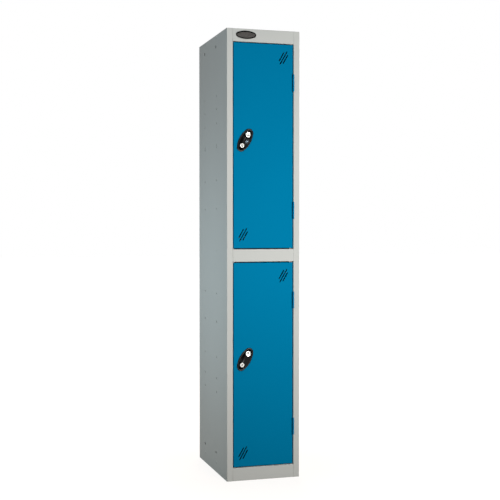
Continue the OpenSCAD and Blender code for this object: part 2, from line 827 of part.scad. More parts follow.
lock_nut(lower_open_z);  // lower_lock_nut
lock_plug(lower_open_z);  // lower_lock_plug
lock_cam(lower_open_z);  // lower_lock_cam
cam_screw(lower_open_z);  // lower_cam_screw
frame_leaf(hinge_top_z(lower_open_z));  // lower_door_top_frame_leaf
door_leaf(hinge_top_z(lower_open_z));  // lower_door_top_door_leaf
hinge_pin(hinge_top_z(lower_open_z));  // lower_door_top_pin
frame_leaf(hinge_bottom_z(lower_open_z));  // lower_door_bottom_frame_leaf
door_leaf(hinge_bottom_z(lower_open_z));  // lower_door_bottom_door_leaf
hinge_pin(hinge_bottom_z(lower_open_z));  // lower_door_bottom_pin
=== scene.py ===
"""Looks of a two-door steel school locker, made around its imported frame.

The file is laid out as an add-on: sizes and colours are properties, each piece or group of like pieces
has an operator, and one panel lists them. It is run as a script. All lengths are in metres, in the part's
own frame: X to the right, front towards -Y, Z up, floor at zero.
"""

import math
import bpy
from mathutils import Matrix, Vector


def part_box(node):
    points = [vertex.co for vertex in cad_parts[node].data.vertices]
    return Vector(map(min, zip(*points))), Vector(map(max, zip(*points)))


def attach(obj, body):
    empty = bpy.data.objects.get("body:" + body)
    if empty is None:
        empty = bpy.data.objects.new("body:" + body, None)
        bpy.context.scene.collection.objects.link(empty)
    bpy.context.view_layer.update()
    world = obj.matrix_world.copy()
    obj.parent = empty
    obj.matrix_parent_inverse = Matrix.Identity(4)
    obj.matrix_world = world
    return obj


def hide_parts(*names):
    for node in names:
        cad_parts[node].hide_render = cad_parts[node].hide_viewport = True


bl_info = {
    "name": "School locker",
    "version": (1, 0, 0),
    "blender": (4, 5, 0),
    "location": "View3D > Sidebar > Locker",
    "description": "Finishes a two-door steel school locker and sets it in a plain studio",
    "category": "Object",
}

import bpy
from bpy.props import FloatProperty, FloatVectorProperty, IntProperty, PointerProperty
from bpy.types import NodeSocket, Operator, Panel, PropertyGroup
from mathutils import Matrix, Vector

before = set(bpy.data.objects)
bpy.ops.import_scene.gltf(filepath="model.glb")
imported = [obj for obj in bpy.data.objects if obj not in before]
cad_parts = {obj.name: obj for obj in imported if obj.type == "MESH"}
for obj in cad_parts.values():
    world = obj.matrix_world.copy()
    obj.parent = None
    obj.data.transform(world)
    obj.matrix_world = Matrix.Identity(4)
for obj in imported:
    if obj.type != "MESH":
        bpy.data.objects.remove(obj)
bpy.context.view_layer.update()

MM = 0.001
TIERS = ("upper", "lower")
HINGES = [f"{tier}_door_{end}" for tier in TIERS for end in ("top", "bottom")]
CABINET_SHEETS = (
    "left_side_panel", "right_side_panel", "left_front_post", "right_front_post", "back_panel",
    "top_panel", "mid_shelf", "base_panel",
)
WHITE = (1, 1, 1, 1)

# Edges of a new mesh that turn by more than this stay crisp
CRISP_ANGLE = math.radians(38)
# Edges of a frame node that turn by more than this can be rounded
ROUNDED_ANGLE = math.radians(40)
# Height of a digit as a share of its font's size
DIGIT_SHARE = 0.7
# Radians that a wave texture of scale one turns through in one unit
WAVE_TURN = 20


# Properties


def hex_colour(text):
    """Linear RGBA of an sRGB hex value."""
    channels = [int(text[i:i + 2], 16) / 255 for i in (1, 3, 5)]
    linear = [c / 12.92 if c <= 0.04045 else ((c + 0.055) / 1.055) ** 2.4 for c in channels]
    return (*linear, 1.0)


def colour_property(name, description, text):
    """Colour property whose default is an sRGB hex value."""
    return FloatVectorProperty(
        name=name, description=description, subtype="COLOR", size=4, min=0, max=1, default=hex_colour(text)
    )


def length_property(name, description, millimetres):
    """Length property whose default is given in millimetres."""
    return FloatProperty(name=name, description=description, unit="LENGTH", min=0, default=millimetres * MM)


def power_property(name, description, watts):
    """Power property of a light."""
    return FloatProperty(name=name, description=description, unit="POWER", min=0, default=watts)


class LockerColours(PropertyGroup):
    """Colours of the locker's finishes."""

    cabinet: colour_property("Cabinet paint", "Powder coat on the folded cabinet", "#cccdc8")
    door: colour_property("Door paint", "Powder coat on the doors and hinges", "#0079a4")
    door_sheen: colour_property("Door sheen", "Tint of the sheen on the doors and hinges", "#00bcf3")
    lock_plate: colour_property("Lock plate", "Moulded plastic of the oval lock plates", "#060606")
    badge_rim: colour_property("Badge rim", "Moulded plastic of the badge's rim", "#080808")
    badge_inlay: colour_property("Badge inlay", "Sunk middle of the bare badge", "#605c59")
    disc: colour_property("Number disc", "Satin aluminium of the number discs", "#c4c4c0")
    numeral: colour_property("Numeral", "Moulded plastic of the numerals set into the discs", "#1c1f1f")
    lock: colour_property("Lock metal", "Nickel plated face of the locks", "#c4c3be")
    # Painted shade: the plugs are coloured darker than the lock faces to stand for the shade in each lock's
    # middle; only their duller finish is wear by keys.
    plug: colour_property("Plug metal", "Plugs of the locks, dulled by keys, coloured darker as painted shade", "#8a8984")
    cam: colour_property("Cam metal", "Zinc plated steel of cams, nuts and screws", "#8d9092")
    zinc: colour_property("Hook metal", "Zinc plated steel of the coat hooks", "#b9bcbe")
    rubber: colour_property("Rubber", "Rubber of the door buffers", "#1d1d1d")
    floor: colour_property("Floor", "Tint that the floor throws back on the locker", "#6f6152")


class LockerSizes(PropertyGroup):
    """Sizes of the pieces that are modelled here."""

    plate_long: length_property("Plate length", "Length of the oval lock plate", 100)
    plate_wide: length_property("Plate width", "Width of the oval lock plate", 49)
    plate_end_r: length_property("Plate end radius", "Radius of the lock plate's ends", 17)
    plate_tilt: FloatProperty(
        name="Plate lean", description="Lean of the lock plate from upright",
        subtype="ANGLE", default=math.radians(30),
    )
    collar: length_property("Collar", "Width of the collar round a disc or lock face", 1)
    numeral_h: length_property("Numeral height", "Height of a numeral on its disc", 8.5)
    badge_end_r: length_property("Badge end radius", "Radius of the badge's ends", 10)
    badge_rim: length_property("Badge rim", "Width of the badge's raised rim", 4)
    weld_d: length_property("Weld mark", "Diameter of a spot weld's mark on a stiffener", 7)
    weld_pitch: length_property("Weld pitch", "Distance between spot welds on a stiffener", 75)
    edge_round: length_property("Edge rounding", "Rounding of small metal and rubber edges", 0.35)
    steps: IntProperty(name="Steps", description="Points on each arc of an oval", default=28, min=8)


class LockerStage(PropertyGroup):
    """Camera and studio light."""

    camera_place: FloatVectorProperty(
        name="Camera place", description="Where the camera stands", subtype="XYZ", unit="LENGTH",
        default=(-1.20407, -4.06396, 1.00036),
    )
    camera_turn: FloatProperty(
        name="Camera turn", description="Turn of the camera about the vertical", subtype="ANGLE",
        default=-0.29065,
    )
    camera_dip: FloatProperty(
        name="Camera dip", description="How far the camera looks down", subtype="ANGLE", default=0.022
    )
    lens: FloatProperty(
        name="Lens", description="Focal length on a 36 mm sensor", unit="CAMERA", default=73.18
    )
    world_light: FloatProperty(name="World light", description="Strength of the even light", default=0.24)
    key_power: power_property("Key light", "Power of the front light", 36)
    fill_power: power_property("Side light", "Power of the left light", 3.5)
    fill_tint: colour_property("Side tint", "Colour of the left light", "#d6f1ff")
    glint_power: power_property("Left glint", "Power of the small light at the upper left", 5.5)
    glint_tint: colour_property("Glint tint", "Colour of the small light at the upper left", "#ceebff")
    right_power: power_property("Right light", "Power of the right light", 4)
    back_power: power_property("Back light", "Power of the light behind", 75)


# Materials


def add_node(tree, kind, inputs=None, **settings):
    """Adds a node. Each input is a value, or the output socket that feeds it."""
    made = tree.nodes.new(kind)
    for name, value in settings.items():
        setattr(made, name, value)
    for key, value in (inputs or {}).items():
        if isinstance(value, NodeSocket):
            tree.links.new(value, made.inputs[key])
        else:
            made.inputs[key].default_value = value
    return made


def new_material(name):
    """Empty material, its node tree, and the socket with a point's place on its object."""
    material = bpy.data.materials.new(name)
    material.use_nodes = True
    tree = material.node_tree
    tree.nodes.clear()
    return material, tree, add_node(tree, "ShaderNodeTexCoord").outputs["Object"]


def close_material(tree, shader):
    """Feeds a shader node to the material's output."""
    add_node(tree, "ShaderNodeOutputMaterial", {"Surface": shader.outputs[0]})


def per_metre(millimetres):
    """Scale of a pattern whose features are so many millimetres across."""
    return 1 / (millimetres * MM)


def toned(colour, factor, lift=0.0):
    """Colour made darker or lighter by a factor and a lift."""
    return [min(1.0, c * factor + lift) for c in colour[:3]] + [1.0]


def powder_coat(name, colour, roughness, gloss_level, sheen_colour):
    """Polyester powder coat, sprayed on steel sheet and baked.

    The eye sees an almost even colour, which drifts a little over 240 mm, with a low sheen broken up by a
    fine orange peel. The peel is drawn 5 mm across, about twice the real size, so that it still shows at
    this distance. A strong colour also tints the sheen.
    """
    material, tree, place = new_material(name)
    cloud = add_node(
        tree, "ShaderNodeTexNoise", {"Vector": place, "Scale": per_metre(240), "Detail": 3.0}
    )
    peel = add_node(tree, "ShaderNodeTexNoise", {"Vector": place, "Scale": per_metre(5), "Detail": 2.0})
    tone = add_node(
        tree, "ShaderNodeMix",
        {"Factor": cloud.outputs["Fac"], "A": toned(colour, 0.955), "B": colour}, data_type="RGBA",
    )
    sheen = add_node(
        tree, "ShaderNodeMapRange",
        {"Value": peel.outputs["Fac"], "To Min": roughness - 0.05, "To Max": roughness + 0.05},
    )
    bump = add_node(
        tree, "ShaderNodeBump", {"Height": peel.outputs["Fac"], "Strength": 0.06, "Distance": 0.2 * MM}
    )
    shader = add_node(
        tree, "ShaderNodeBsdfPrincipled",
        {"Base Color": tone.outputs["Result"], "Roughness": sheen.outputs["Result"],
         "Normal": bump.outputs["Normal"], "Specular IOR Level": gloss_level, "Specular Tint": sheen_colour},
    )
    close_material(tree, shader)
    return material


def moulded_plastic(name, colour, roughness, gloss_level):
    """Injection moulded ABS from a lightly sparked mould.

    The eye sees a dark skin with a soft highlight and a very fine grain, drawn 1.2 mm across, coarser
    than the real one, so that it shows.
    """
    material, tree, place = new_material(name)
    grain = add_node(
        tree, "ShaderNodeTexNoise", {"Vector": place, "Scale": per_metre(1.2), "Detail": 3.0}
    )
    haze = add_node(
        tree, "ShaderNodeMapRange",
        {"Value": grain.outputs["Fac"], "To Min": roughness - 0.05, "To Max": roughness + 0.07},
    )
    tone = add_node(
        tree, "ShaderNodeMix",
        {"Factor": grain.outputs["Fac"], "A": colour, "B": toned(colour, 1.5, 0.002)}, data_type="RGBA",
    )
    bump = add_node(
        tree, "ShaderNodeBump", {"Height": grain.outputs["Fac"], "Strength": 0.08, "Distance": 0.1 * MM}
    )
    shader = add_node(
        tree, "ShaderNodeBsdfPrincipled",
        {"Base Color": tone.outputs["Result"], "Roughness": haze.outputs["Result"],
         "Normal": bump.outputs["Normal"], "Specular IOR Level": gloss_level},
    )
    close_material(tree, shader)
    return material


def hammered_plastic(name, colour):
    """Moulded plastic with a hammered texture in its sunk face.

    The eye sees dark grey broken into rounded cells, 3 mm across, with real dents; each cell's colour darkens
    towards its edge as painted shade of the dents.
    """
    material, tree, place = new_material(name)
    dents_and_painted_shade = add_node(
        tree, "ShaderNodeTexVoronoi", {"Vector": place, "Scale": per_metre(3)}, feature="SMOOTH_F1"
    )
    # Painted shade: each cell darkens to 0.3 of the colour towards its edge, standing for the shade on the
    # hammered dents.
    tone = add_node(
        tree, "ShaderNodeMix",
        {"Factor": dents_and_painted_shade.outputs["Distance"], "A": colour, "B": toned(colour, 0.3)}, data_type="RGBA",
    )
    bump = add_node(
        tree, "ShaderNodeBump", {"Height": dents_and_painted_shade.outputs["Distance"], "Strength": 0.5, "Distance": 0.4 * MM}
    )
    shader = add_node(
        tree, "ShaderNodeBsdfPrincipled",
        {"Base Color": tone.outputs["Result"], "Roughness": 0.45, "Normal": bump.outputs["Normal"],
         "Specular IOR Level": 0.15},
    )
    close_material(tree, shader)
    return material


def turned_metal(name, colour, roughness, ring_mm):
    """Turned and satin finished metal disc, on an object whose origin is the disc's middle.

    The eye sees a bright face with concentric tool marks, drawn coarser than the real ones so that they
    show.
    """
    material, tree, place = new_material(name)
    rings = add_node(
        tree, "ShaderNodeTexWave",
        {"Vector": place, "Scale": per_metre(ring_mm) * 2 * math.pi / WAVE_TURN, "Distortion": 0.4,
         "Detail": 1.0},
        wave_type="RINGS", rings_direction="Y",
    )
    satin = add_node(
        tree, "ShaderNodeMapRange",
        {"Value": rings.outputs["Fac"], "To Min": roughness - 0.04, "To Max": roughness + 0.06},
    )
    bump = add_node(
        tree, "ShaderNodeBump", {"Height": rings.outputs["Fac"], "Strength": 0.05, "Distance": 0.05 * MM}
    )
    shader = add_node(
        tree, "ShaderNodeBsdfPrincipled",
        {"Base Color": colour, "Metallic": 1.0, "Roughness": satin.outputs["Result"],
         "Normal": bump.outputs["Normal"]},
    )
    close_material(tree, shader)
    return material


def plated_metal(name, colour, roughness, cloud_mm):
    """Plated steel or die casting: nickel or zinc over a smooth base.

    The eye sees a metal whose sheen drifts in small clouds where the bath left it thicker or duller.
    """
    material, tree, place = new_material(name)
    cloud = add_node(
        tree, "ShaderNodeTexNoise", {"Vector": place, "Scale": per_metre(cloud_mm), "Detail": 4.0}
    )
    tone = add_node(
        tree, "ShaderNodeMix",
        {"Factor": cloud.outputs["Fac"], "A": toned(colour, 0.86), "B": colour}, data_type="RGBA",
    )
    sheen = add_node(
        tree, "ShaderNodeMapRange",
        {"Value": cloud.outputs["Fac"], "To Min": roughness + 0.08, "To Max": roughness - 0.06},
    )
    shader = add_node(
        tree, "ShaderNodeBsdfPrincipled",
        {"Base Color": tone.outputs["Result"], "Metallic": 1.0, "Roughness": sheen.outputs["Result"]},
    )
    close_material(tree, shader)
    return material


def moulded_rubber(name, colour):
    """Moulded black rubber.

    The eye sees a matt skin with a dusty bloom in soft patches 2 mm across.
    """
    material, tree, place = new_material(name)
    bloom = add_node(tree, "ShaderNodeTexNoise", {"Vector": place, "Scale": per_metre(2), "Detail": 3.0})
    tone = add_node(
        tree, "ShaderNodeMix",
        {"Factor": bloom.outputs["Fac"], "A": colour, "B": toned(colour, 1.8, 0.004)}, data_type="RGBA",
    )
    bump = add_node(
        tree, "ShaderNodeBump", {"Height": bloom.outputs["Fac"], "Strength": 0.15, "Distance": 0.1 * MM}
    )
    shader = add_node(
        tree, "ShaderNodeBsdfPrincipled",
        {"Base Color": tone.outputs["Result"], "Roughness": 0.75, "Normal": bump.outputs["Normal"]},
    )
    close_material(tree, shader)
    return material


# Meshes


def finish_node(name, material, rounding=0.0):
    """Gives a frame node its material, and rounds its edges where a rounding is given."""
    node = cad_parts[name]
    node.data.materials.clear()
    node.data.materials.append(material)
    if rounding:
        weld = node.modifiers.new("Weld", "WELD")
        weld.merge_threshold = 0.005 * MM
        bevel = node.modifiers.new("Rounded edges", "BEVEL")
        bevel.width = rounding
        bevel.segments = 3
        bevel.limit_method = "ANGLE"
        bevel.angle_limit = ROUNDED_ANGLE
        bevel.harden_normals = True


def new_piece(name, vertices, faces, material, place=(0, 0, 0)):
    """Mesh object in the scene, smooth apart from its sharp edges."""
    mesh = bpy.data.meshes.new(name)
    mesh.from_pydata(vertices, [], faces)
    mesh.materials.append(material)
    mesh.shade_smooth()
    mesh.set_sharp_from_angle(angle=CRISP_ANGLE)
    piece = bpy.data.objects.new(name, mesh)
    piece.location = place
    bpy.context.scene.collection.objects.link(piece)
    return piece


def loft(rings):
    """Vertices and faces of a closed skin over rings of equal counts, capped at both ends."""
    count = len(rings[0])
    vertices = [point for ring in rings for point in ring]
    faces = [tuple(range(count)), tuple(reversed(range(len(vertices) - count, len(vertices))))]
    for start in range(0, len(vertices) - count, count):
        for i in range(count):
            j = (i + 1) % count
            faces.append((start + i, start + count + i, start + count + j, start + j))
    return vertices, faces


def lathe(profile, steps):
    """Closed solid of revolution about Y, from (radius, depth) points that start and end off the axis."""
    turn = [2 * math.pi * i / steps for i in range(steps)]
    rings = []
    for radius, depth in profile:
        rings.append([Vector((radius * math.cos(a), depth, radius * math.sin(a))) for a in turn])
    return loft(rings)


def oval_ring(half_long, half_wide, end_r, inset, steps):
    """Points of an upright four-arc oval, moved in from its edge, as (across, along) pairs."""
    reach = half_long - end_r
    flank = (half_wide ** 2 + reach ** 2 - end_r ** 2) / (2 * (half_wide - end_r))
    swing = math.atan2(reach, flank - half_wide)
    arcs = [
        (half_wide - flank, 0, flank, -swing, swing),
        (0, reach, end_r, swing, math.pi - swing),
        (flank - half_wide, 0, flank, math.pi - swing, math.pi + swing),
        (0, -reach, end_r, math.pi + swing, 2 * math.pi - swing),
    ]
    points = []
    for across, along, radius, start, end in arcs:
        for i in range(steps):
            a = start + (end - start) * i / steps
            points.append((across + (radius - inset) * math.cos(a), along + (radius - inset) * math.sin(a)))
    return points


def oval_loft(half_long, half_wide, end_r, profile, lean, steps):
    """Closed solid with an oval outline, leaning to the right by an angle.

    It is made from (inset, depth, share) points: each ring is moved in from the edge, then shrunk to its
    share.
    """
    across, along = math.sin(lean), math.cos(lean)
    rings = []
    for inset, depth, share in profile:
        ring = []
        for u, v in oval_ring(half_long, half_wide, end_r, inset, steps):
            x = share * (u * along + v * across)
            z = share * (v * along - u * across)
            ring.append(Vector((x, depth, z)))
        rings.append(ring)
    return loft(rings)


def combine(piece, tools):
    """Joins tools to a piece, or cuts them from it, and removes them."""
    for operation, tool in tools:
        change = piece.modifiers.new("Combine", "BOOLEAN")
        change.operation = operation
        change.solver = "EXACT"
        change.object = tool
    seen = piece.evaluated_get(bpy.context.evaluated_depsgraph_get())
    mesh = bpy.data.meshes.new_from_object(seen)
    piece.modifiers.clear()
    piece.data = mesh
    mesh.set_sharp_from_angle(angle=CRISP_ANGLE)
    for _, tool in tools:
        bpy.data.objects.remove(tool)


def middle(node):
    """Middle of a frame node's box."""
    low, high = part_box(node)
    return (low + high) / 2


# Pieces


class LOCKER_OT_cabinet(Operator):
    """Powder coats the folded cabinet and its rivets"""

    bl_idname = "locker.cabinet"
    bl_label = "Cabinet"

    def execute(self, context):
        paint = powder_coat(
            "Cabinet powder coat", context.scene.locker_colours.cabinet,
            roughness=0.62, gloss_level=0.12, sheen_colour=WHITE,
        )
        for name in CABINET_SHEETS:
            finish_node(name, paint)
        finish_node("carcass_rivets", paint, rounding=0.3 * MM)
        return {"FINISHED"}


class LOCKER_OT_doors(Operator):
    """Powder coats the doors, their stiffeners and hinges, and marks the spot welds"""

    bl_idname = "locker.doors"
    bl_label = "Doors and hinges"

    def execute(self, context):
        colours = context.scene.locker_colours
        sizes = context.scene.locker_sizes
        paint = powder_coat(
            "Door powder coat", colours.door, roughness=0.45, gloss_level=0.1, sheen_colour=colours.door_sheen
        )
        for tier in TIERS:
            finish_node(f"{tier}_door_panel", paint)
            finish_node(f"{tier}_door_stiffener", paint)
            self.weld_marks(tier, paint, sizes)
        for hinge in HINGES:
            for leaf in ("frame_leaf", "door_leaf", "pin"):
                finish_node(f"{hinge}_{leaf}", paint, sizes.edge_round)
        return {"FINISHED"}

    def weld_marks(self, tier, paint, sizes):
        """Shallow spot weld domes along both flanges of a stiffener."""
        low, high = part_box(f"{tier}_door_stiffener")
        sheet = 0.9 * MM
        flange_face = low.y + sheet
        flange_middle = 6 * MM
        count = int((high.z - low.z) / sizes.weld_pitch)
        spare = (high.z - low.z - (count - 1) * sizes.weld_pitch) / 2
        r = sizes.weld_d / 2
        dome = [
            (r, -0.1 * MM), (r, 0), (r * 0.8, 0.2 * MM), (r * 0.5, 0.28 * MM), (r * 0.12, 0.24 * MM),
        ]
        points, skins = lathe(dome, steps=24)
        vertices, faces = [], []
        for x in (low.x + flange_middle, high.x - flange_middle):
            for k in range(count):
                place = Vector((x, flange_face, low.z + spare + k * sizes.weld_pitch))
                start = len(vertices)
                vertices += [p + place for p in points]
                faces += [tuple(start + i for i in skin) for skin in skins]
        marks = new_piece(f"{tier}_stiffener_weld_marks", vertices, faces, paint)
        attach(marks, f"{tier}_door")


class LOCKER_OT_lock_plates(Operator):
    """Models the dished oval lock plates with their two bosses"""

    bl_idname = "locker.lock_plates"
    bl_label = "Lock plates"

    def execute(self, context):
        sizes = context.scene.locker_sizes
        plastic = moulded_plastic(
            "Lock plate ABS", context.scene.locker_colours.lock_plate, roughness=0.16, gloss_level=0.18
        )
        for tier in TIERS:
            plate = self.plate(tier, plastic, sizes)
            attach(plate, f"{tier}_door")
            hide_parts(f"{tier}_lock_plate")
        return {"FINISHED"}

    def plate(self, tier, plastic, sizes):
        """One plate: a bowl for the fingertips, a rounded rim and the tub behind it."""
        low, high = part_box(f"{tier}_lock_plate")
        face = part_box(f"{tier}_door_panel")[0].y
        proud = face - low.y
        back = high.y - face
        wall = 1.5 * MM
        floor = back - wall
        bottom = 15.5 * MM
        overlap = 5 * MM
        bowl = [
            (bottom, floor, 0.04), (bottom, floor - 0.4 * MM, 0.3), (bottom, floor - 1.4 * MM, 0.55),
            (bottom, floor - 2.9 * MM, 0.78), (bottom, floor - 4.8 * MM, 1),
        ]
        flank = [
            (14 * MM, floor - 5.9 * MM, 1), (12.4 * MM, floor - 7.15 * MM, 1),
            (10.9 * MM, floor - 8.35 * MM, 1), (9.4 * MM, floor - 9.6 * MM, 1),
            (8 * MM, floor - 10.9 * MM, 1), (6.9 * MM, floor - 12.2 * MM, 1),
        ]
        rim = [
            (5.9 * MM, 0.5 * MM - proud, 1), (4.9 * MM, 0.15 * MM - proud, 1), (3.8 * MM, -proud, 1),
            (2 * MM, -proud, 1), (1 * MM, 0.5 * MM - proud, 1), (0.3 * MM, 1.4 * MM - proud, 1),
            (0, 2.6 * MM - proud, 1),
        ]
        tub = [(0, 0, 1), (overlap, 0, 1), (overlap, back, 1)]
        points, skins = oval_loft(
            sizes.plate_long / 2, sizes.plate_wide / 2, sizes.plate_end_r, bowl + flank + rim + tub,
            sizes.plate_tilt, sizes.steps,
        )
        centre = middle(f"{tier}_lock_plate")
        place = (centre.x, face, centre.z)
        plate = new_piece(f"{tier}_lock_plate_dish", points, skins, plastic, place)
        disc = self.boss(tier, "number_disc", plastic, face, back, sizes)
        lock = self.boss(tier, "lock_barrel", plastic, face, back, sizes)
        bore = self.bore(tier, plastic, face, back)
        combine(plate, [("UNION", disc), ("UNION", lock), ("DIFFERENCE", bore)])
        return plate

    def boss(self, tier, carried, plastic, face, back, sizes):
        """Round boss with a collar round the disc or lock face that it carries."""
        low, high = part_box(f"{tier}_{carried}")
        inner = (high.x - low.x) / 2
        outer = inner + sizes.collar
        seat = max(low.y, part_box(f"{tier}_number_disc")[1].y) - face
        collar_h = 0.8 * MM
        collar = seat - collar_h
        profile = [
            (inner * 0.1, seat), (inner + 0.1 * MM, seat), (inner + 0.15 * MM, collar + 0.15 * MM),
            (inner + 0.35 * MM, collar), (outer - 0.3 * MM, collar), (outer, collar + 0.4 * MM),
            (outer + 0.3 * MM, back - 4 * MM), (outer + 1.6 * MM, back - 1.4 * MM),
            (inner * 0.1, back - 0.6 * MM),
        ]
        centre = middle(f"{tier}_{carried}")
        points, skins = lathe(profile, steps=72)
        return new_piece(f"{tier}_{carried}_boss", points, skins, plastic, (centre.x, face, centre.z))

    def bore(self, tier, plastic, face, back):
        """Round tool that cuts the hole for the lock's barrel."""
        radius = 7.6 * MM
        centre = middle(f"{tier}_lock_barrel")
        points, skins = lathe([(radius, -20 * MM), (radius, back + 5 * MM)], steps=72)
        return new_piece(f"{tier}_lock_bore", points, skins, plastic, (centre.x, face, centre.z))


class LOCKER_OT_number_discs(Operator):
    """Models the number discs and their plain numerals"""

    bl_idname = "locker.number_discs"
    bl_label = "Number discs"

    def execute(self, context):
        colours = context.scene.locker_colours
        sizes = context.scene.locker_sizes
        metal = turned_metal("Satin aluminium", colours.disc, roughness=0.22, ring_mm=2.37)
        plastic = moulded_plastic("Numeral ABS", colours.numeral, roughness=0.4, gloss_level=0.2)
        for number, tier in enumerate(TIERS, start=1):
            disc = self.disc(tier, metal)
            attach(disc, f"{tier}_door")
            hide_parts(f"{tier}_number_disc")
            numeral = self.numeral(tier, str(number), plastic, sizes)
            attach(numeral, f"{tier}_door")
        return {"FINISHED"}

    def disc(self, tier, metal):
        """Disc with a rounded rim and a slightly sunk face."""
        low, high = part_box(f"{tier}_number_disc")
        r = (high.x - low.x) / 2
        thick = high.y - low.y
        sunk = 0.25 * MM
        profile = [
            (r * 0.02, sunk - thick), (r * 0.8, sunk - thick), (r * 0.85, 0.02 * MM - thick),
            (r * 0.93, -thick), (r * 0.98, 0.15 * MM - thick), (r, 0.45 * MM - thick), (r, 0), (r * 0.02, 0),
        ]
        points, skins = lathe(profile, steps=96)
        centre = middle(f"{tier}_number_disc")
        return new_piece(f"{tier}_number_disc_face", points, skins, metal, (centre.x, high.y, centre.z))

    def numeral(self, tier, text, plastic, sizes):
        """Plain bold numeral set into the disc, a hair above its sunk face."""
        low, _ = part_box(f"{tier}_number_disc")
        centre = middle(f"{tier}_number_disc")
        depth = 0.22 * MM
        curve = bpy.data.curves.new("numeral", "FONT")
        curve.body = text
        curve.size = sizes.numeral_h / DIGIT_SHARE
        curve.align_x = "CENTER"
        curve.align_y = "CENTER"
        curve.extrude = 0.06 * MM
        curve.offset = 0.4 * MM
        holder = bpy.data.objects.new("numeral", curve)
        bpy.context.scene.collection.objects.link(holder)
        seen = holder.evaluated_get(bpy.context.evaluated_depsgraph_get())
        mesh = bpy.data.meshes.new_from_object(seen)
        bpy.data.objects.remove(holder)
        mesh.transform(Matrix.Rotation(math.pi / 2, 4, "X"))
        mesh.materials.clear()
        mesh.materials.append(plastic)
        numeral = bpy.data.objects.new(f"{tier}_numeral", mesh)
        numeral.location = (centre.x, low.y + depth, centre.z)
        bpy.context.scene.collection.objects.link(numeral)
        return numeral


class LOCKER_OT_cam_locks(Operator):
    """Finishes the locks' faces, plugs, nuts, cams and screws"""

    bl_idname = "locker.cam_locks"
    bl_label = "Cam locks"

    def execute(self, context):
        colours = context.scene.locker_colours
        rounding = context.scene.locker_sizes.edge_round
        nickel = plated_metal("Nickel plate", colours.lock, roughness=0.22, cloud_mm=6)
        # The plugs' darker colour is painted shade in the middle of each lock; their higher roughness is wear
        # by keys.
        dulled = plated_metal("Dulled nickel plate with painted shade", colours.plug, roughness=0.32, cloud_mm=3)
        zinc = plated_metal("Zinc plate", colours.cam, roughness=0.55, cloud_mm=9)
        for tier in TIERS:
            finish_node(f"{tier}_lock_barrel", nickel, rounding)
            finish_node(f"{tier}_lock_plug", dulled)
            finish_node(f"{tier}_lock_nut", zinc, rounding)
            finish_node(f"{tier}_lock_cam", zinc, rounding)
            finish_node(f"{tier}_cam_screw", zinc, rounding * 0.5)
        return {"FINISHED"}


class LOCKER_OT_badge(Operator):
    """Finishes the badge's rim and lays its bare inlay"""

    bl_idname = "locker.badge"
    bl_label = "Badge"

    def execute(self, context):
        colours = context.scene.locker_colours
        sizes = context.scene.locker_sizes
        plastic = moulded_plastic("Badge ABS", colours.badge_rim, roughness=0.5, gloss_level=0.02)
        finish_node("badge_plate", plastic, rounding=0.5 * MM)
        low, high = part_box("badge_plate")
        half_long, half_wide = (high.x - low.x) / 2, (high.z - low.z) / 2
        sink = 0.8 * MM
        sunk = low.y + sink
        clearance = 0.2 * MM
        edge = sizes.badge_rim + clearance
        profile = [
            (sizes.badge_end_r - 0.5 * MM, -0.45 * MM, 1), (edge + 3 * MM, -0.35 * MM, 1),
            (edge + 1 * MM, -0.15 * MM, 1), (edge, 0.05 * MM, 1), (edge, 0.2 * MM, 1),
        ]
        lying = math.pi / 2
        points, skins = oval_loft(half_long, half_wide, sizes.badge_end_r, profile, lying, sizes.steps)
        centre = middle("badge_plate")
        inlay = new_piece(
            "badge_inlay", points, skins, hammered_plastic("Hammered plastic with painted shade", colours.badge_inlay),
            (centre.x, sunk, centre.z),
        )
        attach(inlay, "carcass")
        return {"FINISHED"}


class LOCKER_OT_fittings(Operator):
    """Finishes the coat hooks, their rivets and the rubber door buffers"""

    bl_idname = "locker.fittings"
    bl_label = "Hooks and buffers"

    def execute(self, context):
        colours = context.scene.locker_colours
        rounding = context.scene.locker_sizes.edge_round
        zinc = plated_metal("Hook zinc plate", colours.zinc, roughness=0.36, cloud_mm=14)
        for tier in TIERS:
            finish_node(f"{tier}_coat_hook", zinc)
        finish_node("hook_rivets", zinc, rounding)
        finish_node("door_buffers", moulded_rubber("Buffer rubber", colours.rubber), rounding)
        return {"FINISHED"}


# Studio


